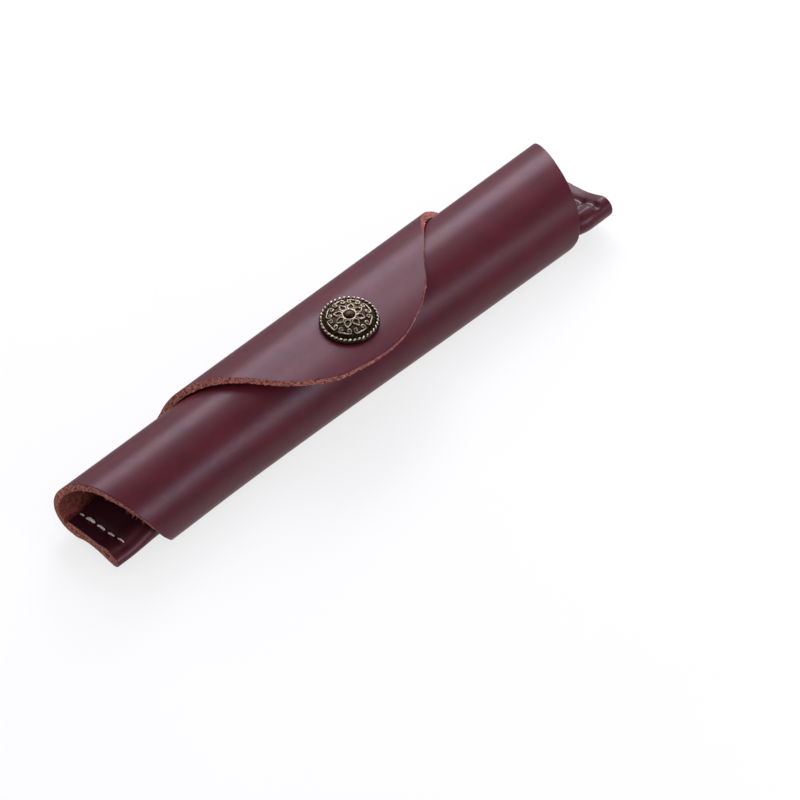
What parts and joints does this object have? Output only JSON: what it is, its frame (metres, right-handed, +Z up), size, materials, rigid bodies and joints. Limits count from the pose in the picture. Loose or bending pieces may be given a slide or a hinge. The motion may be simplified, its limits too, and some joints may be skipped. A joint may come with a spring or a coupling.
{
  "type": "pen sleeve",
  "caption": "Rolled leather sleeve for a single pen, with an inner sewn pocket and a curved flap closed by a decorative press stud.",
  "frame": {"origin": "bottom centre of the closed sleeve's box, on the surface it lies on", "axes": "+X along the sleeve, +Y towards the spine fold, +Z up through the press stud's cap"},
  "size_m": [0.17, 0.0344, 0.0283],
  "materials": {
    "leather": "smooth waxed",
    "thread": "waxed",
    "antique_brass": "antiqued",
    "spring_steel": "drawn wire"
  },
  "bodies": {
    "sleeve": {"pocket_panel": "leather", "base_panel": "leather", "wrap_panel": "leather", "under_panel": "leather", "turn_panel": "leather", "near_end_thread": "thread", "far_end_thread": "thread", "snap_stud": "antique_brass", "stud_eyelet": "antique_brass"},
    "flap": {"closing_flap": "leather", "snap_cap": "antique_brass", "cap_post": "antique_brass", "snap_socket": "antique_brass", "socket_spring": "spring_steel"}
  },
  "joints": [
    {"name": "flap_fold", "type": "hinge", "parent": "sleeve", "child": "flap", "pos_m": [0, 0.01462, 0.01711], "axis": [-1, 0, 0], "range_deg": [0, 150]}
  ]
}
